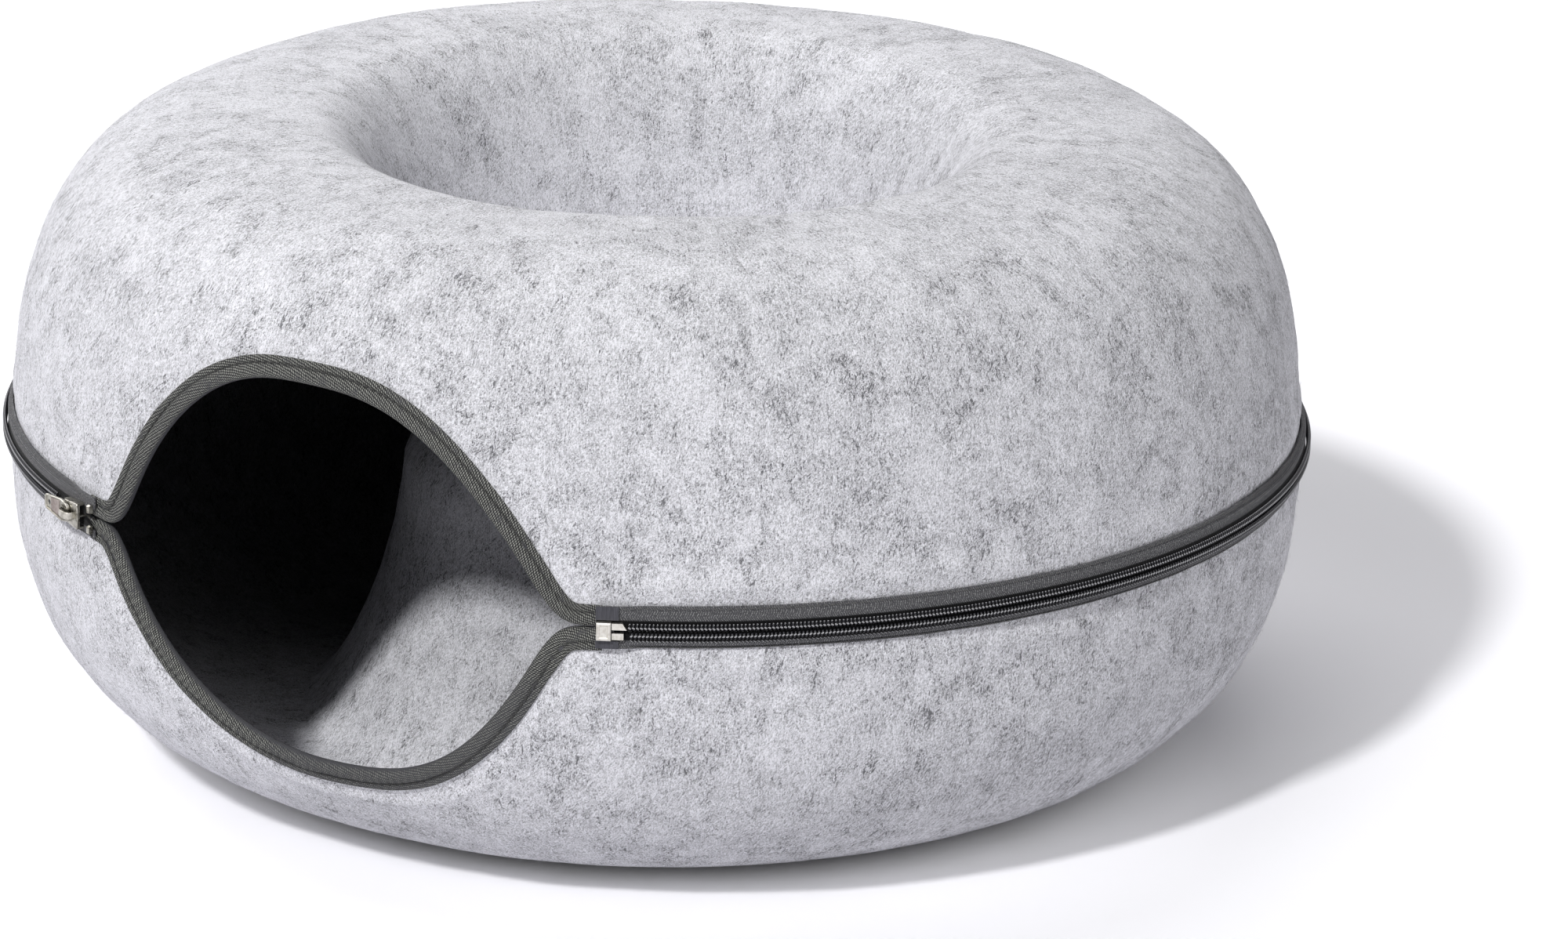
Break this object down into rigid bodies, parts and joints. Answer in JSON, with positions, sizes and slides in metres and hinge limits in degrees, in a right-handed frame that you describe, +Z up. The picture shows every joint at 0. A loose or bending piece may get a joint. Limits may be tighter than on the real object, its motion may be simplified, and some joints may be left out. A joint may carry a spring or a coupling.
{
  "type": "donut cat tunnel",
  "caption": "Ring-shaped felt tunnel for a cat in two moulded halves joined by a separating zip, with a bound side mouth and a closed well in the middle.",
  "frame": {"origin": "centre of the bounding box on the floor, 5.6 mm behind the ring's own centre", "axes": "+Z up, the mouth faces -Y, and +X is on the right of someone who stands in front of the mouth and faces it"},
  "size_m": [0.5083, 0.4966, 0.244],
  "materials": {
    "felt": "pressed melange felt",
    "binding_twill": "herringbone twill",
    "zip_tape": "woven",
    "zip_coil": "satin",
    "thread": "sewing thread",
    "nickel": "nickel plated",
    "box_metal": "light plated",
    "film": "satin film",
    "hook_and_loop": "hook and loop"
  },
  "bodies": {
    "lower_half": {"lower_shell": "felt", "lower_zip_tape": "zip_tape", "lower_coil": "zip_coil", "lower_tape_stitching": "thread", "lower_mouth_binding": "binding_twill", "lower_binding_stitching": "thread", "lower_top_stop": "nickel", "lower_end_film": "film", "centre_hook_disc": "hook_and_loop", "retainer_box": "box_metal", "retainer_pin": "box_metal"},
    "upper_half": {"upper_shell": "felt", "upper_zip_tape": "zip_tape", "upper_coil": "zip_coil", "upper_tape_stitching": "thread", "upper_mouth_binding": "binding_twill", "upper_binding_stitching": "thread", "upper_top_stop": "nickel", "upper_end_film": "film", "centre_loop_disc": "hook_and_loop", "insertion_pin": "box_metal"},
    "slider": {"slider_body": "nickel"},
    "pull_tab": {"pull_tab": "nickel"}
  },
  "joints": [
    {"name": "slider_travel", "type": "hinge", "parent": "lower_half", "child": "slider", "pos_m": [0, -0.0056, 0.1235], "axis": [0, 0, -1], "range_deg": [0, 302.6]},
    {"name": "pull_tab_flip", "type": "hinge", "parent": "slider", "child": "pull_tab", "pos_m": [-0.11532, -0.23511, 0.1235], "axis": [0, 0, 1], "range_deg": [0, 180]},
    {"name": "upper_half_lift", "type": "slide", "parent": "lower_half", "child": "upper_half", "axis": [0, 0, 1], "range_m": [0, 0.2]}
  ]
}
